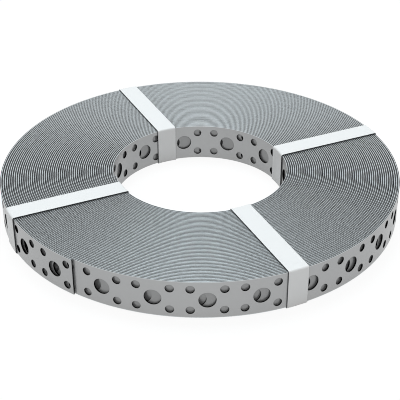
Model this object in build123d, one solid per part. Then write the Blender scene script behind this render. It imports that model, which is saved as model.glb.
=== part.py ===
from build123d import *
import os
from math import cos, pi, radians, sin, sqrt

# A coil of perforated steel strap, wound loosely into a flat ring that lies on its side, and held
# by four tie bands round the ring's section. Millimetres, +Z up. The origin is on the winding axis
# at the floor. Azimuths are degrees from +X towards +Y, and the strap winds outwards that way.

# The strap, as it is before it is wound.
STRAP_WIDTH = 20.0
STRAP_THICKNESS = 0.7
HOLE_PITCH = 25.0  # from one large hole to the next, along the strap
LARGE_HOLE = 8.0
SMALL_HOLE = 4.0
PAIR_SHIFT = 7.8  # along the strap, from a large hole to the small pair on either side
PAIR_SPACING = 11.5  # across the strap, between the two small holes of a pair
END_MARGIN = 11.5  # from the cut outer end of the strap to its last large hole

# The winding.
BORE_DIAMETER = 90.0  # across the first turn at the strap's inner end
TURN_GAP = 0.41  # air between turns, with which 25 m of strap fills the coil
WHOLE_TURNS = 53
INNER_END = -168.5  # azimuth of the strap's inner end
OUTER_END = -124.7  # azimuth of its free outer end
TAIL_LENGTH = 24.0  # of the free outer end that stands clear of the turn under it

# What shows of the turns inside the ring: the gap between two turns, every few turns.
TURNS_PER_NOTCH = 18
NOTCH_DEPTH = 0.9

# The number of flat sides of a plain hole. Every second large hole of the outer turn is round,
# where no tie band touches it.
LARGE_SIDES = 8
SMALL_SIDES = 6
ROUND_EVERY = 2
HOLE_CLEAR = 0.4  # between a hole and the end of a turn that would cut into it

# The tie bands. Each lies along a straight line that passes the axis at a small distance.
BAND_WIDTH = 10.8
BAND_THICKNESS = 0.6
BAND_CORNER = 0.4  # bevel on a band's outside where it turns a corner of the ring
BAND_CLEARANCE = 0.05  # between a band and the curved walls of the ring
FRONT_BAND_SHIFT = 0.8  # from the axis to the middle line of the front band
BACK_BAND_SHIFT = 0.2  # and of the back band
SIDE_BAND_SHIFT = 2.7  # and of the left and right bands
BANDS = {
    "tie_band_front_right": (-65.0, -FRONT_BAND_SHIFT),
    "tie_band_right": (25.0, SIDE_BAND_SHIFT),
    "tie_band_back_left": (115.0, BACK_BAND_SHIFT),
    "tie_band_left": (205.0, -SIDE_BAND_SHIFT),
}

turn_pitch = STRAP_THICKNESS + TURN_GAP
turns = WHOLE_TURNS + (OUTER_END - INNER_END) / 360
bore_radius = BORE_DIAMETER / 2
strap_length = 2 * pi * turns * (bore_radius + STRAP_THICKNESS / 2 + turn_pitch * turns / 2)
coil_bottom = BAND_THICKNESS
mid_height = coil_bottom + STRAP_WIDTH / 2


def half_turn_centre(half):
    """The winding is a row of half circles, whose centres lie in turn on either side of the axis."""
    side = -turn_pitch / 4 if half % 2 == 0 else turn_pitch / 4
    return Vector(side * cos(radians(INNER_END)), side * sin(radians(INNER_END)))


def half_turn_radius(half):
    """Radius of the strap's inner face on a half circle, which grows by half a pitch each time."""
    return bore_radius + turn_pitch * (2 * half + 1) / 4


def winding_arcs(start, end, offset):
    """Arcs along the winding between two places, in turns, at an offset from the inner face."""
    arcs = []
    half = int(2 * start)
    while half < 2 * end:
        first = max(2 * start, half)
        last = min(2 * end, half + 1)
        radius = half_turn_radius(half) + offset
        arcs.append(CenterArc(half_turn_centre(half), radius, INNER_END + 180 * first, 180 * (last - first)))
        half += 1
    return arcs


def face_inside(start, end, offset):
    """The flat face inside one turn of the winding, closed by the step where the turn ends."""
    arcs = winding_arcs(start, end, offset)
    return make_face(Wire(arcs + [Line(arcs[-1] @ 1, arcs[0] @ 0)]))


def strip_along(start, end, inner_offset, outer_offset):
    """A flat strip that follows the winding between two offsets."""
    inner = winding_arcs(start, end, inner_offset)
    outer = winding_arcs(start, end, outer_offset)
    ends = [Line(inner[0] @ 0, outer[0] @ 0), Line(inner[-1] @ 1, outer[-1] @ 1)]
    return make_face(Wire(inner + outer + ends))


def turned_ring():
    """One turned solid whose ends carry a notch at the gap between turns, every few turns."""
    inner = bore_radius - turn_pitch
    outer = bore_radius + turn_pitch * (turns + 1)
    gaps = [
        bore_radius + turn_pitch * turn - TURN_GAP / 2
        for turn in range(TURNS_PER_NOTCH, WHOLE_TURNS - 1, TURNS_PER_NOTCH)
    ]
    top = [(inner, STRAP_WIDTH)]
    for gap in gaps:
        top += [
            (gap - TURN_GAP / 2, STRAP_WIDTH),
            (gap, STRAP_WIDTH - NOTCH_DEPTH),
            (gap + TURN_GAP / 2, STRAP_WIDTH),
        ]
    top += [(outer, STRAP_WIDTH)]
    bottom = [(x, STRAP_WIDTH - z) for x, z in reversed(top)]
    profile = make_face(Plane.XZ * Polyline(*top, *bottom, close=True))
    return Pos(0, 0, coil_bottom) * revolve(profile, Axis.Z)


def winding_at(length):
    """Where a length along the strap from its inner end lies on the winding, in turns."""
    start = bore_radius + STRAP_THICKNESS / 2
    return (sqrt(start**2 + turn_pitch * length / pi) - start) / turn_pitch


def length_at(place):
    """Length along the strap from its inner end to a place on the winding, in turns."""
    return 2 * pi * place * (bore_radius + STRAP_THICKNESS / 2 + turn_pitch * place / 2)


def hole_plane(place, height, outward):
    """A plane on the strap's outer or inner face at a place, facing away from the strap."""
    half = int(2 * place)
    azimuth = radians(INNER_END + 360 * place)
    away = Vector(cos(azimuth), sin(azimuth))
    radius = half_turn_radius(half) + (STRAP_THICKNESS if outward else 0)
    point = half_turn_centre(half) + away * radius
    return Plane((point.X, point.Y, height), x_dir=(0, 0, 1), z_dir=away if outward else -away)


def beside_bands(point):
    """How far a point on the coil lies outside the nearest tie band, or below zero under one."""
    gaps = []
    for azimuth, offset in BANDS.values():
        ahead = Vector(cos(radians(azimuth)), sin(radians(azimuth)))
        if point.dot(ahead) > 0:
            gaps.append(abs(point.X * ahead.Y - point.Y * ahead.X - offset) - BAND_WIDTH / 2)
    return min(gaps)


def hole_cutter(plane, diameter, sides):
    """A cutter one strap thickness deep, round or with flat sides, two of them upright."""
    outline = Circle(diameter / 2)
    if sides:
        outline = RegularPolygon(diameter / 2, sides, major_radius=False, rotation=90 - 180 / sides)
    return extrude(plane.offset(-STRAP_THICKNESS) * outline, STRAP_THICKNESS + HOLE_CLEAR)


def perforation(first, last, outward):
    """Cutters for the holes of one turn, counted from the strap's outer end.

    A hole that a tie band covers is left out."""
    low, high = length_at(first), length_at(last)
    cutters = []
    for unit in range(int(strap_length / HOLE_PITCH) + 1):
        large = strap_length - END_MARGIN - HOLE_PITCH * unit
        chosen = outward and unit % ROUND_EVERY == 1
        holes = [(large, 0, LARGE_HOLE, LARGE_SIDES, chosen)]
        for shift in (-PAIR_SHIFT, PAIR_SHIFT):
            for rise in (-PAIR_SPACING / 2, PAIR_SPACING / 2):
                holes.append((large + shift, rise, SMALL_HOLE, SMALL_SIDES, False))
        for length, rise, diameter, sides, chosen in holes:
            reach = diameter / 2 + HOLE_CLEAR
            if not low + reach < length < high - reach:
                continue
            plane = hole_plane(winding_at(length), mid_height + rise, outward)
            clear = beside_bands(plane.origin)
            if clear > -diameter / 2:
                is_round = chosen and clear > diameter / 2
                cutters.append(hole_cutter(plane, diameter, 0 if is_round else sides))
    return cutters


def strap_coil():
    """The wound strap: the turned ring, trimmed to the winding, perforated, with its free tail."""
    outer_face = face_inside(turns - 1, turns, STRAP_THICKNESS)
    inner_face = face_inside(0, 1, 0)
    wound = extrude(Pos(0, 0, coil_bottom) * (outer_face - inner_face), STRAP_WIDTH)
    coil = turned_ring() & wound
    coil = coil.cut(*perforation(turns - 1, turns, True), *perforation(0, 1, False))
    tail = TAIL_LENGTH / (2 * pi * half_turn_radius(2 * WHOLE_TURNS))
    slot = strip_along(turns - tail, turns, -TURN_GAP, 0)
    return coil - extrude(Pos(0, 0, coil_bottom) * slot, STRAP_WIDTH)


def wall_at(azimuth, outward):
    """Centre and radius of the coil's outer or inner wall at an azimuth."""
    if outward:
        place = turns - (OUTER_END - azimuth) % 360 / 360
    else:
        place = (azimuth - INNER_END) % 360 / 360
    half = int(2 * place)
    return half_turn_centre(half), half_turn_radius(half) + (STRAP_THICKNESS if outward else 0)


def ring_between(inner_wall, outer_wall, growth, height):
    """A ring between two walls, grown by the same amount at both."""
    (inner_centre, inner_radius), (outer_centre, outer_radius) = inner_wall, outer_wall
    outside = Pos(outer_centre) * Cylinder(outer_radius + growth, height)
    return Pos(0, 0, mid_height) * (outside - Pos(inner_centre) * Cylinder(inner_radius - growth, height))


def tie_band(azimuth, offset):
    """A closed band round the ring's section, shaped to the curved walls that it lies on."""
    inner_wall = wall_at(azimuth, False)
    outer_wall = wall_at(azimuth, True)
    skin = ring_between(
        inner_wall, outer_wall, BAND_CLEARANCE + BAND_THICKNESS, STRAP_WIDTH + 2 * BAND_THICKNESS
    )
    reach = 2 * outer_wall[1]
    way = Rot(0, 0, azimuth) * Pos(reach / 2, -offset, mid_height)
    band = skin & way * Box(reach, BAND_WIDTH, reach)
    band = chamfer(band.edges().filter_by(GeomType.CIRCLE), BAND_CORNER)
    return band - ring_between(inner_wall, outer_wall, BAND_CLEARANCE, STRAP_WIDTH)


os.makedirs("parts", exist_ok=True)
export_step(strap_coil(), "parts/strap_coil.step")
for name, (azimuth, offset) in BANDS.items():
    export_step(tie_band(azimuth, offset), f"parts/{name}.step")
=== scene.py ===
# The looks of a coil of perforated steel strap, built around its packed solids: the strap with all
# its turns, gaps and holes, and the four bands that tie it. Metres, +Z up. The origin is on the
# winding axis at the floor, azimuths run from +X towards +Y, and the strap winds outwards that way.

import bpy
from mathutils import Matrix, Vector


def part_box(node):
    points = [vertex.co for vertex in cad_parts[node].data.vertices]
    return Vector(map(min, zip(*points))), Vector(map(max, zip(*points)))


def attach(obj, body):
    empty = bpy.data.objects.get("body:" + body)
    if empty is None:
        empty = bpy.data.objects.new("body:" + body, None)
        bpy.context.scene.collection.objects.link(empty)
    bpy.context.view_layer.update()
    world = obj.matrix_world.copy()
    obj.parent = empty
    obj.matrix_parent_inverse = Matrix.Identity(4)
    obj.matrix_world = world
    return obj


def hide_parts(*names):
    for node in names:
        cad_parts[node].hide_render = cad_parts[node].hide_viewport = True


bl_info = {
    "name": "Perforated strap coil",
    "version": (1, 0, 0),
    "blender": (4, 5, 0),
    "location": "3D View > Sidebar > Strap coil",
    "description": "Winds a perforated steel strap into a flat coil and ties it with four bands",
    "category": "Add Mesh",
}

from collections import namedtuple
from math import ceil, cos, floor, hypot, pi, radians, sin, sqrt

import bmesh
import bpy
from bpy.props import FloatProperty, FloatVectorProperty, IntProperty, PointerProperty
from mathutils import Vector
from mathutils.geometry import delaunay_2d_cdt

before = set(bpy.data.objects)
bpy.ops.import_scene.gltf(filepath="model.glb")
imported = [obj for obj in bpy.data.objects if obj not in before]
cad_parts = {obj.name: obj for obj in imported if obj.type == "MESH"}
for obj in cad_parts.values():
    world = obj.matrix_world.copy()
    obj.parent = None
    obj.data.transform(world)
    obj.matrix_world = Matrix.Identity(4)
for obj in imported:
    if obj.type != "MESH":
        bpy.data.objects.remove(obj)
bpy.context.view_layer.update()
coil_low, coil_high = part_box("strap_coil")

MM = 0.001
BODY = "root"


class StrapSizes(bpy.types.PropertyGroup):
    """The strap as it is before it is wound."""

    width: FloatProperty(
        name="Width",
        description="Width of the strap",
        default=coil_high.z - coil_low.z,
        unit="LENGTH",
    )
    thickness: FloatProperty(
        name="Thickness", description="Thickness of the strap", default=0.7 * MM, unit="LENGTH"
    )
    hole_pitch: FloatProperty(
        name="Hole pitch",
        description="From one large hole to the next",
        default=25 * MM,
        unit="LENGTH",
    )
    large_hole: FloatProperty(
        name="Large hole", description="Diameter of a large hole", default=8 * MM, unit="LENGTH"
    )
    small_hole: FloatProperty(
        name="Small hole", description="Diameter of a small hole", default=4 * MM, unit="LENGTH"
    )
    pair_shift: FloatProperty(
        name="Pair shift",
        description="Along the strap, from a large hole to the pair of small ones on either side",
        default=7.8 * MM,
        unit="LENGTH",
    )
    pair_spacing: FloatProperty(
        name="Pair spacing",
        description="Across the strap, between the two small holes of a pair",
        default=11.5 * MM,
        unit="LENGTH",
    )
    end_margin: FloatProperty(
        name="End margin",
        description="From the last large hole to the cut outer end of the strap",
        default=11.5 * MM,
        unit="LENGTH",
    )
    slit_bevel: FloatProperty(
        name="Slit bevel",
        description="Bevel along the strap's long edges",
        default=0.1 * MM,
        unit="LENGTH",
    )
    punch_rim: FloatProperty(
        name="Punch rim", description="Bevel round a punched hole", default=0.12 * MM, unit="LENGTH"
    )


class WindingSizes(bpy.types.PropertyGroup):
    """How the strap is wound."""

    bore: FloatProperty(
        name="Bore", description="Diameter of the first turn", default=90 * MM, unit="LENGTH"
    )
    turn_gap: FloatProperty(
        name="Turn gap", description="Air between two turns", default=0.41 * MM, unit="LENGTH"
    )
    whole_turns: IntProperty(name="Whole turns", description="Number of whole turns", default=53)
    inner_end: FloatProperty(
        name="Inner end",
        description="Azimuth of the strap's inner end",
        default=radians(-168.5),
        unit="ROTATION",
    )
    outer_end: FloatProperty(
        name="Outer end",
        description="Azimuth of the strap's free outer end",
        default=radians(-124.7),
        unit="ROTATION",
    )
    outer_layers: IntProperty(
        name="Outer layers",
        description="Perforated turns at the outside, whose holes show",
        default=5,
    )
    inner_layers: IntProperty(
        name="Inner layers", description="Perforated turns at the bore, whose holes show", default=4
    )
    height_play: FloatProperty(
        name="Height play",
        description="How far a turn may sink below its neighbours",
        default=0.08 * MM,
        unit="LENGTH",
    )
    gap_play: FloatProperty(
        name="Gap play",
        description="How far a turn inside the coil may lie off its even spacing",
        default=0.1 * MM,
        unit="LENGTH",
    )


class BandSizes(bpy.types.PropertyGroup):
    """The four bands round the coil's section."""

    width: FloatProperty(
        name="Width",
        description="Width of a band",
        default=10.8 * MM,
        unit="LENGTH",
    )
    thickness: FloatProperty(
        name="Thickness", description="Thickness of a band", default=0.6 * MM, unit="LENGTH"
    )
    corner: FloatProperty(
        name="Corner",
        description="Outer radius where a band turns a corner of the coil",
        default=1.1 * MM,
        unit="LENGTH",
    )
    edge_round: FloatProperty(
        name="Edge round",
        description="Rounding of a band's long edges",
        default=0.12 * MM,
        unit="LENGTH",
    )
    clearance: FloatProperty(
        name="Clearance",
        description="Between a band and the curved walls of the coil",
        default=0.04 * MM,
        unit="LENGTH",
    )


class Finishes(bpy.types.PropertyGroup):
    """Colours of the surfaces."""

    steel: FloatVectorProperty(
        name="Steel",
        description="Zinc-coated steel",
        default=(0.447, 0.451, 0.453),
        subtype="COLOR",
    )
    # Partly real, partly painted shade: bare sheared steel, made near black as the shade in the
    # holes and at the cut ends.
    sheared: FloatVectorProperty(
        name="Sheared steel",
        description="Walls of punched holes and the cut ends, which have no zinc",
        default=(0.004, 0.0042, 0.0045),
        subtype="COLOR",
    )
    # Partly real, partly painted highlight: the cut-clean part of the slit edges, made much
    # brighter than the zinc so that the edges of the turns shine.
    burnish_and_highlight: FloatVectorProperty(
        name="Burnished edge",
        description="The part of the strap's long edges that the slitter cut clean",
        default=(0.762, 0.82, 0.846),
        subtype="COLOR",
    )
    # Partly real, partly painted shade: the torn part of the slit edges, made near black as the
    # shade in the gaps between turns.
    slit: FloatVectorProperty(
        name="Torn edge",
        description="The torn part of the strap's long edges, where the slitter broke the steel",
        default=(0.012, 0.0125, 0.013),
        subtype="COLOR",
    )
    band: FloatVectorProperty(
        name="Band",
        description="White plastic of the bands",
        default=(0.83, 0.83, 0.828),
        subtype="COLOR",
    )
    # Painted shade: the slit edges of the bands are made near black, as the shade along and under
    # them.
    band_edge_shade: FloatVectorProperty(
        name="Band edge",
        description="Slit edges of the bands",
        default=(0.03, 0.033, 0.035),
        subtype="COLOR",
    )
    floor: FloatVectorProperty(
        name="Floor", description="The floor's own colour", default=(0.5, 0.5, 0.5), subtype="COLOR"
    )


# Azimuth of each band in degrees, and how far its middle line passes the axis.
BANDS = {
    "tie_band_front_right": (-65.0, -0.8 * MM),
    "tie_band_right": (25.0, 2.7 * MM),
    "tie_band_back_left": (115.0, 0.2 * MM),
    "tie_band_left": (205.0, -2.7 * MM),
}

WHITE = (1.0, 1.0, 1.0, 1.0)
BLACK = (0.0, 0.0, 0.0, 1.0)
# Sockets of a Mix node that mixes colours.
MIX_FACTOR, MIX_FIRST, MIX_SECOND, MIX_RESULT = 0, 6, 7, 2


def rgba(colour, strength=1.0):
    """A colour for a socket, made darker or brighter by a factor."""
    return (*(level * strength for level in colour), 1.0)


class Value:
    """A node's output, so that maths on it reads as an ordinary expression."""

    def __init__(self, graph, socket):
        self.graph = graph
        self.socket = socket

    def __add__(self, other):
        return self.graph.math("ADD", self, other)

    def __sub__(self, other):
        return self.graph.math("SUBTRACT", self, other)

    def __rsub__(self, other):
        return self.graph.math("SUBTRACT", other, self)

    def __mul__(self, other):
        return self.graph.math("MULTIPLY", self, other)

    def __truediv__(self, other):
        return self.graph.math("DIVIDE", self, other)

    def __rtruediv__(self, other):
        return self.graph.math("DIVIDE", other, self)

    __radd__ = __add__
    __rmul__ = __mul__

    def output(self, name):
        """Another output of the same node."""
        return Value(self.graph, self.socket.node.outputs[name])


class Graph:
    """A node tree, to which one call adds a node with its settings and inputs."""

    def __init__(self, tree):
        self.tree = tree

    def node(self, kind, settings=None, inputs=None, output=0):
        """Adds a node, sets its settings first and then its inputs, and returns one output."""
        node = self.tree.nodes.new(kind)
        for name, value in (settings or {}).items():
            if name == "stops":
                self.set_stops(node.color_ramp, value)
            else:
                setattr(node, name, value)
        for name, value in (inputs or {}).items():
            for one in value if isinstance(value, list) else [value]:
                self.feed(node.inputs[name], one)
        return Value(self, node.outputs[output]) if len(node.outputs) else None

    def set_stops(self, ramp, stops):
        """Sets the two stops of a ramp, each a position and a grey level."""
        for element, (position, level) in zip(ramp.elements, stops):
            element.position = position
            element.color = rgba((level, level, level))

    def feed(self, socket, value):
        """Links a value to a socket, or sets the socket to a number, a colour or a name."""
        if isinstance(value, Value):
            self.tree.links.new(value.socket, socket)
        else:
            socket.default_value = value

    def math(self, operation, *values):
        return self.node("ShaderNodeMath", {"operation": operation}, dict(enumerate(values)))

    def noise(self, vector, scale, detail):
        inputs = {"Vector": vector, "Scale": scale, "Detail": detail}
        return self.node("ShaderNodeTexNoise", inputs=inputs)

    def mixed(self, factor, first, second):
        """A colour between two others."""
        inputs = {MIX_FACTOR: factor, MIX_FIRST: first, MIX_SECOND: second}
        return self.node("ShaderNodeMix", {"data_type": "RGBA"}, inputs, MIX_RESULT)


def new_material(name):
    """An empty material, and the graph of its nodes."""
    material = bpy.data.materials.new(name)
    material.use_nodes = True
    material.node_tree.nodes.clear()
    return material, Graph(material.node_tree)


def shared(name, maker):
    """A node tree or material by name, made the first time that it is asked for."""
    for kept in (bpy.data.node_groups, bpy.data.materials):
        if name in kept:
            return kept[name]
    return maker()


def linked(name, data):
    """A new object in the scene."""
    thing = bpy.data.objects.new(name, data)
    bpy.context.scene.collection.objects.link(thing)
    return thing


class Winding:
    """The spiral of the coil: half circles whose centres lie in turn on either side of the axis.

    A place on it is given in turns from the strap's inner end."""

    def __init__(self, scene):
        sizes, strap = scene.winding_sizes, scene.strap_sizes
        self.thickness = strap.thickness
        self.pitch = strap.thickness + sizes.turn_gap
        self.bore_radius = sizes.bore / 2
        self.inner_end = sizes.inner_end
        self.outer_end = sizes.outer_end
        self.turns = sizes.whole_turns + (sizes.outer_end - sizes.inner_end) / (2 * pi)
        self.start = self.bore_radius + self.thickness / 2
        self.length = self.length_at(self.turns)
        self.hole_pitch = strap.hole_pitch
        self.first_hole = self.length - strap.end_margin
        self.cells = floor((self.first_hole + self.hole_pitch / 2) / self.hole_pitch)
        # The strap is plain from its inner end up to the innermost whole cell.
        self.plain_end = self.first_hole - self.hole_pitch * (self.cells - 0.5)

    def length_at(self, place):
        """Length along the strap from its inner end to a place on the winding."""
        return 2 * pi * place * (self.start + self.pitch * place / 2)

    def cells_before(self, place):
        """How many cells lie between the free end and a place, to the nearest whole cell."""
        cells = ceil((self.length - self.length_at(place)) / self.hole_pitch - 0.5)
        return min(max(cells, 0), self.cells)

    def wall_at(self, azimuth, outward):
        """Centre and radius of the coil's outer or inner wall at an azimuth."""
        if outward:
            place = self.turns - (self.outer_end - azimuth) % (2 * pi) / (2 * pi)
        else:
            place = (azimuth - self.inner_end) % (2 * pi) / (2 * pi)
        half = int(2 * place)
        side = -self.pitch / 4 if half % 2 == 0 else self.pitch / 4
        centre = Vector((side * cos(self.inner_end), side * sin(self.inner_end)))
        radius = self.bore_radius + self.pitch * (2 * half + 1) / 4
        return centre, radius + (self.thickness if outward else 0)


# A hole of a cell: its centre along and across the strap, its radius and its number of sides.
Hole = namedtuple("Hole", "x y radius sides")


def holes_of(strap, large_sides, small_sides):
    """The five holes of one cell."""
    holes = [Hole(0.0, 0.0, strap.large_hole / 2, large_sides)]
    for shift in (-strap.pair_shift, strap.pair_shift):
        for rise in (-strap.pair_spacing / 2, strap.pair_spacing / 2):
            holes.append(Hole(shift, rise, strap.small_hole / 2, small_sides))
    return holes


def ring_of(hole, radius):
    """Corners of a hole's outline at a radius, clockwise."""
    angles = [2 * pi * (step + 0.5) / hole.sides for step in reversed(range(hole.sides))]
    return [(hole.x + radius * cos(angle), hole.y + radius * sin(angle)) for angle in angles]


# Settings of the triangulation: it fills the whole hull, and points that are closer than this in
# millimetres become one.
WHOLE_HULL = 0
SAME_POINT = 1e-5


def flat_pattern(outline, rings, loose_points):
    """Points and triangles of a flat shape with rings and loose points inside its outline."""
    points, edges = [], []
    for loop in (outline, *rings):
        first = len(points)
        points += loop
        edges += [(first + step, first + (step + 1) % len(loop)) for step in range(len(loop))]
    in_mm = [Vector(point) / MM for point in points + loose_points]
    found, _, triangles, *_ = delaunay_2d_cdt(in_mm, edges, [], WHOLE_HULL, SAME_POINT, False)
    return [(point.x * MM, point.y * MM) for point in found], triangles


class Sheet:
    """A mesh of two flat sides with the same points, and of the walls between them."""

    def __init__(self, points, thickness):
        self.points = points
        self.mesh = bmesh.new()
        # Faces marked here get the near-black sheared colour, which is partly painted shade.
        self.sheared = self.mesh.faces.layers.float.new("sheared")
        self.top = self.level(points, thickness)
        self.bottom = self.level(points, 0.0)
        self.numbers = {self.key(point): number for number, point in enumerate(points)}

    def key(self, point):
        """A point to a thousandth of a millimetre, by which it is found again."""
        return tuple(round(distance / MM, 3) for distance in point)

    def level(self, points, height):
        """New vertices at a height over points."""
        return [self.mesh.verts.new((x, y, height)) for x, y in points]

    def vertices_at(self, points, side):
        """The vertices of a side at points."""
        return [side[self.numbers[self.key(point)]] for point in points]

    def face_both_sides(self, triangle):
        """Adds a triangle to the top, looking up, and the same one to the bottom, looking down."""
        a, b, c = (Vector(self.points[number]) for number in triangle)
        order = triangle if (b - a).cross(c - a) > 0 else triangle[::-1]
        self.mesh.faces.new([self.top[number] for number in order])
        self.mesh.faces.new([self.bottom[number] for number in reversed(order)])

    def wall(self, loop, levels, closed, sheared):
        """Quads from the top to the bottom along a loop, by way of levels of new vertices."""
        top, bottom = (self.vertices_at(loop, side) for side in (self.top, self.bottom))
        rows = [top, *levels, bottom]
        for upper, lower in zip(rows, rows[1:]):
            for i in range(len(loop) if closed else len(loop) - 1):
                j = (i + 1) % len(loop)
                face = self.mesh.faces.new((upper[i], lower[i], lower[j], upper[j]))
                face[self.sheared] = sheared

    def finished(self, name):
        """The sheet as an object."""
        mesh = bpy.data.meshes.new(name)
        self.mesh.to_mesh(mesh)
        self.mesh.free()
        return linked(name, mesh)


def cell_object(name, strap, columns, large_sides=0, small_sides=0, rows=0, rim=0.0):
    """A flat cell of strap, one hole pitch long, that the winding repeats.

    It lies along X with its width along Y, and its outer face is up. Columns and rows of points
    divide its faces between the holes. With no sides for its holes it is plain."""
    half_length, half_width = strap.hole_pitch / 2, strap.width / 2
    flat_edge = half_width - strap.slit_bevel
    stations = [half_length * (2 * step / columns - 1) for step in range(columns + 1)]
    across = [flat_edge * (2 * (row + 1) / (rows + 1) - 1) for row in range(rows)]
    outline = [(x, -flat_edge) for x in stations] + [(x, flat_edge) for x in reversed(stations)]
    holes = holes_of(strap, large_sides, small_sides) if large_sides else []
    rings = [ring_of(hole, hole.radius + rim) for hole in holes]
    # The loose points keep a third of a column away from the holes.
    clear = strap.hole_pitch / columns / 3
    loose_points = [
        (x, y)
        for x in stations[1:-1]
        for y in across
        if all(hypot(x - hole.x, y - hole.y) > hole.radius + rim + clear for hole in holes)
    ]
    points, triangles = flat_pattern(outline, rings, loose_points)

    def in_a_hole(triangle):
        """Whether the middle of a triangle lies in a hole."""
        x, y = (sum(points[number][axis] for number in triangle) / 3 for axis in (0, 1))
        return any(
            hypot(x - hole.x, y - hole.y) < (hole.radius + rim) * cos(pi / hole.sides)
            for hole in holes
        )

    sheet = Sheet(points, strap.thickness)
    for triangle in triangles:
        if not in_a_hole(triangle):
            sheet.face_both_sides(triangle)
    for way in (-1, 1):
        loop = [(way * -x, way * flat_edge) for x in stations]
        side = [(x, way * half_width) for x, _ in loop]
        heights = (strap.thickness - strap.slit_bevel, strap.slit_bevel)
        levels = [sheet.level(side, height) for height in heights]
        sheet.wall(loop, levels, closed=False, sheared=0.0)
    for hole, ring in zip(holes, rings):
        bare = ring_of(hole, hole.radius)
        heights = (strap.thickness - rim, rim) if rim else ()
        levels = [sheet.level(bare, height) for height in heights]
        sheet.wall(ring, levels, closed=True, sheared=1.0)
    return sheet.finished(name)


# What the node tree takes in. The rows of cells are named by their place, the outer row first.
WINDING_INPUTS = {
    "Outer cell": "NodeSocketObject",
    "Inner cell": "NodeSocketObject",
    "Outer cells": "NodeSocketInt",
    "Inner cells": "NodeSocketInt",
    "Steel": "NodeSocketMaterial",
    "First hole": "NodeSocketFloat",
    "Hole pitch": "NodeSocketFloat",
    "Strap length": "NodeSocketFloat",
    "Plain end": "NodeSocketFloat",
    "Bore radius": "NodeSocketFloat",
    "Thickness": "NodeSocketFloat",
    "Turn pitch": "NodeSocketFloat",
    "Turns": "NodeSocketFloat",
    "Inner end": "NodeSocketFloat",
    "Middle height": "NodeSocketFloat",
    "Height play": "NodeSocketFloat",
    "Gap play": "NodeSocketFloat",
}
MERGE_DISTANCE = 0.01 * MM
UNEVENNESS_PER_METRE = 6.0
# Where along its noise the unevenness of the gaps and of the heights starts.
GAP_NOISE_START = 0.0
HEIGHT_NOISE_START = 100.0


def straight_strap(graph, given):
    """Two rows of cells in one line along X, merged into a flat strap."""
    pitch, first = given("Hole pitch"), given("First hole")

    def row(cell, start, count):
        """Instances of a cell, one hole pitch apart, towards the strap's inner end."""
        inputs = {
            "Count": count,
            "Start Location": graph.node("ShaderNodeCombineXYZ", inputs={"X": start}),
            "Offset": graph.node("ShaderNodeCombineXYZ", inputs={"X": pitch * -1.0}),
        }
        line = graph.node("GeometryNodeMeshLine", inputs=inputs)
        shape = graph.node("GeometryNodeObjectInfo", inputs={"Object": cell}).output("Geometry")
        inputs = {"Points": line, "Instance": shape}
        return graph.node("GeometryNodeInstanceOnPoints", inputs=inputs)

    outer = row(given("Outer cell"), first, given("Outer cells"))
    inner = row(given("Inner cell"), first - pitch * given("Outer cells"), given("Inner cells"))
    joined = graph.node("GeometryNodeJoinGeometry", inputs={"Geometry": [outer, inner]})
    real = graph.node("GeometryNodeRealizeInstances", inputs={"Geometry": joined})
    inputs = {"Geometry": real, "Distance": MERGE_DISTANCE}
    return graph.node("GeometryNodeMergeByDistance", inputs=inputs)


def winding_tree():
    """Node tree that lays cells of strap in a row and winds the row onto the spiral of the coil."""
    tree = bpy.data.node_groups.new("Wound strap", "GeometryNodeTree")
    for name, kind in WINDING_INPUTS.items():
        tree.interface.new_socket(name=name, in_out="INPUT", socket_type=kind)
    tree.interface.new_socket(name="Geometry", in_out="OUTPUT", socket_type="NodeSocketGeometry")
    graph = Graph(tree)
    given = graph.node("NodeGroupInput").output
    flat = graph.node("GeometryNodeInputPosition")
    marked = graph.node(
        "GeometryNodeStoreNamedAttribute",
        {"data_type": "FLOAT_VECTOR", "domain": "POINT"},
        {"Geometry": straight_strap(graph, given), "Name": "along_strap", "Value": flat},
    )

    # The outermost cell is cut at the free end, and the innermost one reaches to the inner end.
    along = graph.node("ShaderNodeSeparateXYZ", inputs={"Vector": flat})
    trimmed = graph.math("MINIMUM", along, given("Strap length"))
    past_end = graph.math("GREATER_THAN", along, given("Plain end") + MERGE_DISTANCE)
    length = trimmed * past_end

    turn_pitch = given("Turn pitch")
    start = given("Bore radius") + given("Thickness") * 0.5
    grown = graph.math("SQRT", start * start + turn_pitch * length / pi)
    place = (grown - start) / turn_pitch
    # Half circles, whose centres lie a quarter of a pitch from the axis, in turn on either side.
    half = graph.math("FLOOR", place * 2.0)
    side = (graph.math("MODULO", half, 2.0) * 2.0 - 1.0) * turn_pitch * 0.25
    angle = given("Inner end") + place * (2 * pi)

    def unevenness(noise_start):
        """A slow random number along the strap, from 0 to 1."""
        inputs = {"W": length + noise_start, "Scale": UNEVENNESS_PER_METRE, "Detail": 2.0}
        return graph.node("ShaderNodeTexNoise", {"noise_dimensions": "1D"}, inputs)

    # The first and the last turn are even, and the turns next to them come loose within one turn.
    depth = graph.math("MINIMUM", place - 1.0, given("Turns") - 1.0 - place)
    looseness = graph.math("MINIMUM", graph.math("MAXIMUM", depth, 0.0), 1.0)
    play = (unevenness(GAP_NOISE_START) * 2.0 - 1.0) * looseness * given("Gap play")
    sunk = unevenness(HEIGHT_NOISE_START) * looseness * given("Height play")
    face_radius = given("Bore radius") + turn_pitch * (half * 2.0 + 1.0) * 0.25
    radius = face_radius + along.output("Z") + play
    inner_end = given("Inner end")
    place_on_coil = graph.node(
        "ShaderNodeCombineXYZ",
        inputs={
            "X": side * graph.math("COSINE", inner_end) + radius * graph.math("COSINE", angle),
            "Y": side * graph.math("SINE", inner_end) + radius * graph.math("SINE", angle),
            "Z": given("Middle height") + along.output("Y") - sunk,
        },
    )
    inputs = {"Geometry": marked, "Position": place_on_coil}
    wound = graph.node("GeometryNodeSetPosition", inputs=inputs)
    inputs = {"Geometry": wound, "Material": given("Steel")}
    finished = graph.node("GeometryNodeSetMaterial", inputs=inputs)
    graph.node("NodeGroupOutput", inputs={"Geometry": finished})
    return tree


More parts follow.
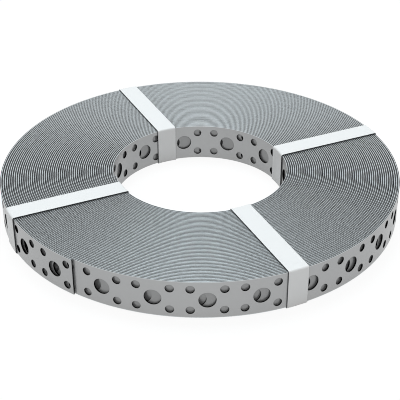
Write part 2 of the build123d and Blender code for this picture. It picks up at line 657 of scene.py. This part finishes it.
def close_ends(mesh):
    """Fills the two open ends of a run of strap, and marks them as sheared."""
    solid = bmesh.new()
    solid.from_mesh(mesh)
    sheared = solid.faces.layers.float["sheared"]
    open_edges = [edge for edge in solid.edges if edge.is_boundary]
    for face in bmesh.ops.holes_fill(solid, edges=open_edges)["faces"]:
        face[sheared] = 1.0
    bmesh.ops.triangulate(solid, faces=[face for face in solid.faces if len(face.verts) > 4])
    solid.to_mesh(mesh)
    solid.free()


def wound_strap(context, name, first_cell, outer_row, inner_row):
    """A run of the strap on the coil, as a plain mesh.

    Each row is a cell and how often it comes. The cells are removed when they have been used."""
    scene = context.scene
    strap, sizes = scene.strap_sizes, scene.winding_sizes
    winding = Winding(scene)
    steel = shared("zinc_coated_strap", lambda: steel_material(scene.finishes, strap, winding))
    tree = shared("Wound strap", winding_tree)
    maker = linked(name + "_rule", bpy.data.meshes.new(name + "_rule"))
    modifier = maker.modifiers.new("Wound strap", "NODES")
    modifier.node_group = tree
    (outer_cell, outer_cells), (inner_cell, inner_cells) = outer_row, inner_row
    values = {
        "Outer cell": outer_cell,
        "Inner cell": inner_cell,
        "Outer cells": outer_cells,
        "Inner cells": inner_cells,
        "Steel": steel,
        "First hole": winding.first_hole - strap.hole_pitch * first_cell,
        "Hole pitch": strap.hole_pitch,
        "Strap length": winding.length,
        "Plain end": winding.plain_end,
        "Bore radius": winding.bore_radius,
        "Thickness": strap.thickness,
        "Turn pitch": winding.pitch,
        "Turns": winding.turns,
        "Inner end": winding.inner_end,
        "Middle height": (coil_low.z + coil_high.z) / 2,
        "Height play": sizes.height_play,
        "Gap play": sizes.gap_play,
    }
    for item in tree.interface.items_tree:
        if item.in_out == "INPUT":
            modifier[item.identifier] = values[item.name]
    depsgraph = context.evaluated_depsgraph_get()
    mesh = bpy.data.meshes.new_from_object(
        maker.evaluated_get(depsgraph), preserve_all_data_layers=True, depsgraph=depsgraph
    )
    # Cells have no material, which leaves an empty first slot.
    mesh.materials.pop(index=0)
    maker.modifiers.remove(modifier)
    for used in {maker, outer_cell, inner_cell}:
        bpy.data.objects.remove(used)
    close_ends(mesh)
    return placed(mesh, name)


SHARP_ANGLE = radians(35)


def placed(mesh, name):
    """A finished piece at the origin, riding on the coil's body."""
    mesh.name = name
    mesh.shade_smooth()
    mesh.set_sharp_from_angle(angle=SHARP_ANGLE)
    piece = linked(name, mesh)
    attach(piece, BODY)
    return piece


# How finely each kind of cell is divided.
SHOWN_CELL = {"columns": 10, "large_sides": 48, "small_sides": 24, "rows": 7}
DEEP_OUTER_CELL = {"columns": 6, "large_sides": 24, "small_sides": 12, "rows": 2}
DEEP_INNER_CELL = {"columns": 8, "large_sides": 24, "small_sides": 12, "rows": 3}
PLAIN_CELL = {"columns": 6}


class STRAPCOIL_OT_outer_turns(bpy.types.Operator):
    """Winds the outer turns, whose holes show on the outer wall"""

    bl_idname = "strap_coil.outer_turns"
    bl_label = "Wind the outer turns"

    def execute(self, context):
        strap, winding = context.scene.strap_sizes, Winding(context.scene)
        layers = context.scene.winding_sizes.outer_layers
        shown = cell_object("shown_cell", strap, **SHOWN_CELL, rim=strap.punch_rim)
        deep = cell_object("deep_cell", strap, **DEEP_OUTER_CELL)
        shown_cells = winding.cells_before(winding.turns - 1) + 1
        deep_cells = winding.cells_before(winding.turns - layers) - shown_cells
        rows = (shown, shown_cells), (deep, deep_cells)
        piece = wound_strap(context, "strap_outer_turns", 0, *rows)
        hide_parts("strap_coil")
        return {"FINISHED"}


class STRAPCOIL_OT_middle_turns(bpy.types.Operator):
    """Winds the turns inside the coil, of which only the edges and gaps show"""

    bl_idname = "strap_coil.middle_turns"
    bl_label = "Wind the middle turns"

    def execute(self, context):
        sizes, winding = context.scene.winding_sizes, Winding(context.scene)
        plain = cell_object("plain_cell", context.scene.strap_sizes, **PLAIN_CELL)
        first = winding.cells_before(winding.turns - sizes.outer_layers)
        count = winding.cells_before(sizes.inner_layers) - first
        piece = wound_strap(context, "strap_middle_turns", first, (plain, count), (plain, 0))
        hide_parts("strap_coil")
        return {"FINISHED"}


class STRAPCOIL_OT_inner_turns(bpy.types.Operator):
    """Winds the turns round the bore, whose holes show on the inner wall"""

    bl_idname = "strap_coil.inner_turns"
    bl_label = "Wind the inner turns"

    def execute(self, context):
        strap, winding = context.scene.strap_sizes, Winding(context.scene)
        layers = context.scene.winding_sizes.inner_layers
        shown = cell_object("shown_cell", strap, **SHOWN_CELL, rim=strap.punch_rim)
        deep = cell_object("deep_cell", strap, **DEEP_INNER_CELL)
        first = winding.cells_before(layers)
        shown_from = winding.cells_before(1) - 1
        end = winding.cells_before(0)
        rows = (deep, shown_from - first), (shown, end - shown_from)
        piece = wound_strap(context, "strap_inner_turns", first, *rows)
        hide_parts("strap_coil")
        return {"FINISHED"}


# How many steps a band takes round a corner of the coil, across an end of the coil and down a wall.
CORNER_STEPS = 8
END_SPANS = 14
WALL_SPANS = 3
# How many columns of faces a band has on each side, and steps round the edge of a side.
BAND_COLUMNS = 8
EDGE_STEPS = 3
# A point within this many roundings of a band's side is on its slit edge, which is painted dark as
# shade.
EDGE_REACH = 1.1


def quarter(centre_x, centre_y, radius, start, steps):
    """Points of a quarter circle from a start angle, anticlockwise."""
    angles = [start + pi / 2 * step / steps for step in range(steps + 1)]
    return [(centre_x + radius * cos(angle), centre_y + radius * sin(angle)) for angle in angles]


def dividing(start, end, spans):
    """Points that divide a straight line into spans, without its ends."""
    start, end = Vector(start), Vector(end)
    return [tuple(start.lerp(end, step / spans)) for step in range(1, spans)]


def band_loop(inner, outer, bottom, top, radius):
    """Points round the section of the coil, anticlockwise from the outer wall's foot."""
    corners = [
        quarter(outer - radius, bottom + radius, radius, -pi / 2, CORNER_STEPS),
        quarter(outer - radius, top - radius, radius, 0.0, CORNER_STEPS),
        quarter(inner + radius, top - radius, radius, pi / 2, CORNER_STEPS),
        quarter(inner + radius, bottom + radius, radius, pi, CORNER_STEPS),
    ]
    loop = []
    for number, corner in enumerate(corners):
        following = corners[(number + 1) % len(corners)]
        spans = END_SPANS if number % 2 else WALL_SPANS
        loop += corner + dividing(corner[-1], following[0], spans)
    return loop


def band_section(width, thickness, rounding):
    """Outline of a band's own section: place across the band, and height over its inner face."""
    flat = width / 2 - rounding
    places = [flat * (1 - 2 * step / BAND_COLUMNS) for step in range(1, BAND_COLUMNS)]
    return [
        *quarter(flat, thickness - rounding, rounding, 0.0, EDGE_STEPS),
        *((place, thickness) for place in places),
        *quarter(-flat, thickness - rounding, rounding, pi / 2, EDGE_STEPS),
        *quarter(-flat, rounding, rounding, pi, EDGE_STEPS),
        *((-place, 0.0) for place in places),
        *quarter(flat, rounding, rounding, 3 * pi / 2, EDGE_STEPS),
    ]


def band_mesh(name, winding, sizes, azimuth, offset):
    """A closed band round the section of the coil. Its middle line passes the axis at an offset."""
    ahead = Vector((cos(azimuth), sin(azimuth)))
    across = Vector((sin(azimuth), -cos(azimuth)))

    def reach(outward, aside):
        """Distance ahead to a wall of the coil, on a line that passes the axis at a distance."""
        centre, radius = winding.wall_at(azimuth, outward)
        radius += sizes.clearance if outward else -sizes.clearance
        return centre.dot(ahead) + sqrt(radius**2 - (aside - centre.dot(across)) ** 2)

    band = bmesh.new()
    edge_shade_mark = band.faces.layers.float.new("slit_edge")
    edge_from = sizes.width / 2 - sizes.edge_round * EDGE_REACH
    rings = []
    for place, height in band_section(sizes.width, sizes.thickness, sizes.edge_round):
        aside = offset + place
        loop = band_loop(
            reach(False, aside) - height,
            reach(True, aside) + height,
            coil_low.z - height,
            coil_high.z + height,
            sizes.corner - sizes.thickness + height,
        )
        ring = [band.verts.new((*(across * aside + ahead * out), up)) for out, up in loop]
        rings.append((ring, abs(place) > edge_from))
    for (ring, on_edge), (following, next_on_edge) in zip(rings, rings[1:] + rings[:1]):
        for i in range(len(ring)):
            j = (i + 1) % len(ring)
            face = band.faces.new((ring[i], ring[j], following[j], following[i]))
            # Faces on the slit edges are marked for the painted shade.
            face[edge_shade_mark] = 1.0 if on_edge and next_on_edge else 0.0
    bmesh.ops.recalc_face_normals(band, faces=band.faces)
    mesh = bpy.data.meshes.new(name)
    band.to_mesh(mesh)
    band.free()
    return mesh


class STRAPCOIL_OT_tie_bands(bpy.types.Operator):
    """Ties the four bands round the section of the coil"""

    bl_idname = "strap_coil.tie_bands"
    bl_label = "Tie the bands"

    def execute(self, context):
        scene = context.scene
        sizes, winding = scene.band_sizes, Winding(scene)
        plastic = shared("white_band", lambda: band_material(scene.finishes))
        for name, (degrees, offset) in BANDS.items():
            mesh = band_mesh(name, winding, sizes, radians(degrees), offset)
            mesh.materials.append(plastic)
            piece = placed(mesh, name + "_dressed")
            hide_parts(name)
        return {"FINISHED"}


# Each pattern's scale per metre, for the rolling lines along the strap and across it.
CLOUD_SCALE = 90.0
SPANGLE_SCALE = 420.0
RAGGED_SCALE = 400.0
ROLLING_SCALE = (30.0, 1500.0)
# How much clouds, rolling lines and spangle change the steel's tone, and how much its roughness.
TONE_SHARES = (0.06, 0.05, 0.03)
ROUGHNESS_SHARES = (0.06, 0.04, 0.04)
STEEL_ROUGHNESS = 0.32
# The steel's colour at the lowest and at the highest tone, as shares of its own.
DARKEST, BRIGHTEST = 0.8, 1.2
# How far rolling lines and clouds stand up, as shares of the relief.
ROLLING_RELIEF, CLOUD_RELIEF = 0.6, 0.4
# How metallic the zinc is, which has dulled. Bare steel is wholly metallic.
ZINC_METALLIC = 0.5
# Where the torn part of a slit edge begins, as a share of the strap's thickness, how far that line
# wanders, and over which share of the thickness it blends. The torn part is painted near black,
# partly as painted shade in the gaps between turns.
TORN_SHADE_FROM = 0.4
TORN_SHADE_WANDER = 0.2
TORN_SHADE_BLEND = 0.08
# Painted highlight: how bright, and how far across, a strip of the strap's outer face along its
# long edges is painted in the bright edge colour.
OUTER_RIM_HIGHLIGHT = 0.65
OUTER_RIM_HIGHLIGHT_WIDTH = 0.35 * MM
# Painted shade: how much the strap is darkened where turns cover each other, and how far across it.
COVERED_TURN_SHADE = 0.33
COVERED_TURN_SHADE_WIDTH = 0.85


def steel_material(finishes, strap_sizes, winding):
    """Zinc-coated strap with faint clouds, rolling lines and spangle, and bare walls of holes and
    cut ends made near black, partly as painted shade in the holes.

    Its slit edges are part cut clean, brightened as a painted highlight, and part broken, darkened
    as painted shade in the gaps, and its covered turns are darkened as painted shade."""
    material, graph = new_material("zinc_coated_strap")
    strap = graph.node("ShaderNodeAttribute", {"attribute_name": "along_strap"}, output="Vector")
    sheared = graph.node("ShaderNodeAttribute", {"attribute_name": "sheared"}, output="Fac")
    along = graph.node("ShaderNodeSeparateXYZ", inputs={"Vector": strap})

    def above(value, level):
        return graph.math("GREATER_THAN", value, level)

    def below(value, level):
        return graph.math("LESS_THAN", value, level)

    def stretched(lengthways, crossways):
        """Coordinates on the strap, scaled along and across it."""
        inputs = {"Vector": strap, "Scale": (lengthways, crossways, crossways)}
        return graph.node("ShaderNodeMapping", inputs=inputs)

    cloud = graph.noise(strap, CLOUD_SCALE, detail=3.0)
    rolling = graph.noise(stretched(*ROLLING_SCALE), scale=1.0, detail=2.0)
    inputs = {"Vector": strap, "Scale": SPANGLE_SCALE}
    crystals = graph.node("ShaderNodeTexVoronoi", inputs=inputs, output="Color")
    spangle = graph.node("ShaderNodeSeparateColor", inputs={"Color": crystals})

    def varied(middle, shares):
        """A number that the three patterns change, each by its share, about a middle."""
        for pattern, share in zip((cloud, rolling, spangle), shares):
            middle = middle + share * (pattern - 0.5)
        return middle

    dark, bright = rgba(finishes.steel, DARKEST), rgba(finishes.steel, BRIGHTEST)
    steel = graph.mixed(varied(0.5, TONE_SHARES), dark, bright)

    half_width = strap_sizes.width / 2
    from_middle = graph.math("ABSOLUTE", along.output("Y"))
    depth = along.output("Z")
    first_turn_end = winding.length_at(1)
    last_turn_start = winding.length_at(winding.turns - 1)
    covered = above(along, first_turn_end) * below(along, last_turn_start)
    # Painted shade on the covered turns, which show only through holes and in the gaps, away from
    # their long edges.
    covered_turn_shade = covered * below(from_middle, half_width * COVERED_TURN_SHADE_WIDTH)
    steel = graph.mixed(covered_turn_shade * COVERED_TURN_SHADE, steel, BLACK)
    on_outer_face = above(depth, strap_sizes.thickness / 2)
    # Painted highlight: a bright strip on the outer face along each long edge.
    outer_rim_highlight = above(from_middle, half_width - OUTER_RIM_HIGHLIGHT_WIDTH) * on_outer_face
    steel = graph.mixed(outer_rim_highlight * OUTER_RIM_HIGHLIGHT, steel, rgba(finishes.burnish_and_highlight))

    edge = above(from_middle, half_width - strap_sizes.slit_bevel / 2)
    ragged = graph.noise(stretched(RAGGED_SCALE, RAGGED_SCALE), scale=1.0, detail=2.0)
    through = depth / strap_sizes.thickness + (ragged - 0.5) * TORN_SHADE_WANDER
    stops = ((TORN_SHADE_FROM - TORN_SHADE_BLEND / 2, 0.0), (TORN_SHADE_FROM + TORN_SHADE_BLEND / 2, 1.0))
    # The torn part of the edge, near black: a real fracture, darkened as painted shade in the gaps.
    torn_and_shaded = edge * graph.node("ShaderNodeValToRGB", {"stops": stops}, {"Fac": through})
    # The slit edge in the bright edge colour: a real burnish, raised to a painted highlight.
    steel = graph.mixed(edge, steel, rgba(finishes.burnish_and_highlight))
    steel = graph.mixed(torn_and_shaded, steel, rgba(finishes.slit))

    relief = ROLLING_RELIEF * rolling + CLOUD_RELIEF * cloud
    inputs = {"Height": relief, "Strength": 0.1, "Distance": 0.02 * MM}
    bump = graph.node("ShaderNodeBump", inputs=inputs)
    bare = graph.math("MAXIMUM", torn_and_shaded, sheared)
    # The sheared walls take the near-black colour: bare steel, and painted shade in the holes.
    shader = graph.node(
        "ShaderNodeBsdfPrincipled",
        inputs={
            "Base Color": graph.mixed(sheared, steel, rgba(finishes.sheared)),
            "Metallic": graph.math("MAXIMUM", bare, ZINC_METALLIC),
            "Roughness": varied(STEEL_ROUGHNESS, ROUGHNESS_SHARES),
            "Anisotropic": 0.7,
            "Anisotropic Rotation": 0.25,
            "Normal": bump,
        },
    )
    graph.node("ShaderNodeOutputMaterial", inputs={"Surface": shader})
    return material


MOTTLE_SCALE = 120.0
GRAIN_SCALE = 2500.0
# How far the grain stands up, as a share of the mottle.
GRAIN_RELIEF = 0.5
# The band's colour where it is darkest, as a share of its own, its roughness and how that changes.
DULLEST = 0.97
BAND_ROUGHNESS = 0.42
BAND_ROUGHNESS_SHARE = 0.15


def band_material(finishes):
    """Smooth white plastic, a little mottled, with its slit edges painted dark as shade."""
    material, graph = new_material("white_band")
    coordinates = graph.node("ShaderNodeTexCoord", output="Object")
    # Painted shade on the band's slit edges.
    edge = graph.node("ShaderNodeAttribute", {"attribute_name": "slit_edge"}, output="Fac")
    mottle = graph.noise(coordinates, MOTTLE_SCALE, detail=4.0)
    grain = graph.noise(coordinates, GRAIN_SCALE, detail=2.0)
    white = graph.mixed(mottle, rgba(finishes.band, DULLEST), rgba(finishes.band))
    relief = GRAIN_RELIEF * grain + mottle
    inputs = {"Height": relief, "Strength": 0.2, "Distance": 0.05 * MM}
    bump = graph.node("ShaderNodeBump", inputs=inputs)
    shader = graph.node(
        "ShaderNodeBsdfPrincipled",
        inputs={
            "Base Color": graph.mixed(edge, white, rgba(finishes.band_edge_shade)),
            "Roughness": (mottle - 0.5) * BAND_ROUGHNESS_SHARE + BAND_ROUGHNESS,
            "Normal": bump,
            "IOR": 1.49,
        },
    )
    graph.node("ShaderNodeOutputMaterial", inputs={"Surface": shader})
    return material


# The camera that took the photograph, fitted to the outlines of the coil. Its focal length is a
# share of the picture's width.
CAMERA_ELEVATION = radians(31.543)
CAMERA_DISTANCE = 575.7 * MM
FOCAL_SHARE = 1070.57 / 400
SENSOR_MM = 36.0
CAMERA_SHIFT = (-0.0011, -0.003)
# Pixels over which the film blurs, kept small so that the fine turns stay apart.
FILM_FILTER = 1.0

# Area lamps that look at the coil: name, place, size, power in watts and colour.
LAMPS = (
    ("key_lamp", (-0.1, 0.75, 2.0), 1.0, 29.0, (0.86, 0.96, 1.0)),
    ("fill_lamp", (0.0, -1.55, 0.9), 1.4, 6.0, (1.0, 1.0, 1.0)),
)
SKY_LIGHT = 0.45
FLOOR_SIZE = 6.0
# What is seen of the floor: its glow, and the share of the light that shows the shadow on it.
FLOOR_GLOW = 0.91
FLOOR_SHADE = 0.1


def seen_directly(graph):
    """1 for the rays of the camera, of reflections and of glass, and 0 for light on the object."""
    rays = graph.node("ShaderNodeLightPath", output="Is Camera Ray")
    seen = graph.math("MAXIMUM", rays, rays.output("Is Glossy Ray"))
    return graph.math("MAXIMUM", seen, rays.output("Is Transmission Ray"))


def floor_material(finishes):
    """A pale floor that the camera and reflections see as white, and that keeps the shadow."""
    material, graph = new_material("studio_floor")
    plain = graph.node("ShaderNodeBsdfDiffuse", inputs={"Color": rgba(finishes.floor)})
    dim = graph.node("ShaderNodeBsdfDiffuse", inputs={"Color": rgba([FLOOR_SHADE] * 3)})
    glow = graph.node("ShaderNodeEmission", inputs={"Color": WHITE, "Strength": FLOOR_GLOW})
    white = graph.node("ShaderNodeAddShader", inputs={0: dim, 1: glow})
    inputs = {0: seen_directly(graph), 1: plain, 2: white}
    mixed = graph.node("ShaderNodeMixShader", inputs=inputs)
    graph.node("ShaderNodeOutputMaterial", inputs={"Surface": mixed})
    return material


def studio_world():
    """An even sky that lights softly, and that the camera and reflections see as white."""
    world = bpy.data.worlds.new("studio")
    world.use_nodes = True
    world.node_tree.nodes.clear()
    graph = Graph(world.node_tree)
    even, white = (
        graph.node("ShaderNodeBackground", inputs={"Color": WHITE, "Strength": strength})
        for strength in (SKY_LIGHT, 1.0)
    )
    inputs = {0: seen_directly(graph), 1: even, 2: white}
    mixed = graph.node("ShaderNodeMixShader", inputs=inputs)
    graph.node("ShaderNodeOutputWorld", inputs={"Surface": mixed})
    return world


def studio_floor(finishes):
    """A wide level floor under the coil."""
    half = FLOOR_SIZE / 2
    corners = [(-half, -half, 0), (half, -half, 0), (half, half, 0), (-half, half, 0)]
    mesh = bpy.data.meshes.new("floor")
    mesh.from_pydata(corners, [], [(0, 1, 2, 3)])
    mesh.materials.append(floor_material(finishes))
    return linked("floor", mesh)


def aimed(thing, place, target):
    """Puts a lamp or camera at a place, looking at a target."""
    thing.location = place
    way = Vector(target) - Vector(place)
    thing.rotation_euler = way.to_track_quat("-Z", "Y").to_euler()


def add_lamps():
    """The area lamps, which look at the middle of the coil."""
    for name, place, size, watts, colour in LAMPS:
        lamp = bpy.data.lights.new(name, "AREA")
        lamp.size = size
        lamp.energy = watts
        lamp.color = colour
        aimed(linked(name, lamp), place, (0, 0, 0))


def photo_camera():
    """The camera of the photograph, which looks at the middle of the coil's underside."""
    lens = bpy.data.cameras.new("camera")
    lens.sensor_width = SENSOR_MM
    lens.lens = SENSOR_MM * FOCAL_SHARE
    lens.shift_x, lens.shift_y = CAMERA_SHIFT
    camera = linked("camera", lens)
    target = Vector((0, 0, coil_low.z))
    way = Vector((0, -cos(CAMERA_ELEVATION), sin(CAMERA_ELEVATION)))
    aimed(camera, target + way * CAMERA_DISTANCE, target)
    return camera


class STRAPCOIL_OT_stage(bpy.types.Operator):
    """Sets the floor, the lamps, the sky and the camera"""

    bl_idname = "strap_coil.stage"
    bl_label = "Set the stage"

    def execute(self, context):
        scene = context.scene
        ground = studio_floor(scene.finishes)
        add_lamps()
        scene.world = studio_world()
        scene.camera = photo_camera()
        scene.view_settings.view_transform = "Standard"
        scene.cycles.filter_width = FILM_FILTER
        return {"FINISHED"}


GROUPS = {
    "strap_sizes": StrapSizes,
    "winding_sizes": WindingSizes,
    "band_sizes": BandSizes,
    "finishes": Finishes,
}
STEPS = (
    STRAPCOIL_OT_outer_turns,
    STRAPCOIL_OT_middle_turns,
    STRAPCOIL_OT_inner_turns,
    STRAPCOIL_OT_tie_bands,
    STRAPCOIL_OT_stage,
)


class STRAPCOIL_PT_panel(bpy.types.Panel):
    """Sizes, finishes and the steps that build the coil"""

    bl_label = "Perforated strap coil"
    bl_space_type = "VIEW_3D"
    bl_region_type = "UI"
    bl_category = "Strap coil"

    def draw(self, context):
        layout = self.layout
        for name, group in GROUPS.items():
            box = layout.box()
            box.label(text=group.__doc__)
            for field in group.__annotations__:
                box.prop(getattr(context.scene, name), field)
        for step in STEPS:
            layout.operator(step.bl_idname)


KINDS = (*GROUPS.values(), *STEPS, STRAPCOIL_PT_panel)


def register():
    for kind in KINDS:
        bpy.utils.register_class(kind)
    for name, group in GROUPS.items():
        setattr(bpy.types.Scene, name, PointerProperty(type=group))


def unregister():
    for name in GROUPS:
        delattr(bpy.types.Scene, name)
    for kind in reversed(KINDS):
        bpy.utils.unregister_class(kind)


def main():
    register()
    bpy.ops.strap_coil.outer_turns()
    bpy.ops.strap_coil.middle_turns()
    bpy.ops.strap_coil.inner_turns()
    bpy.ops.strap_coil.tie_bands()
    bpy.ops.strap_coil.stage()


if __name__ == "__main__":
    main()
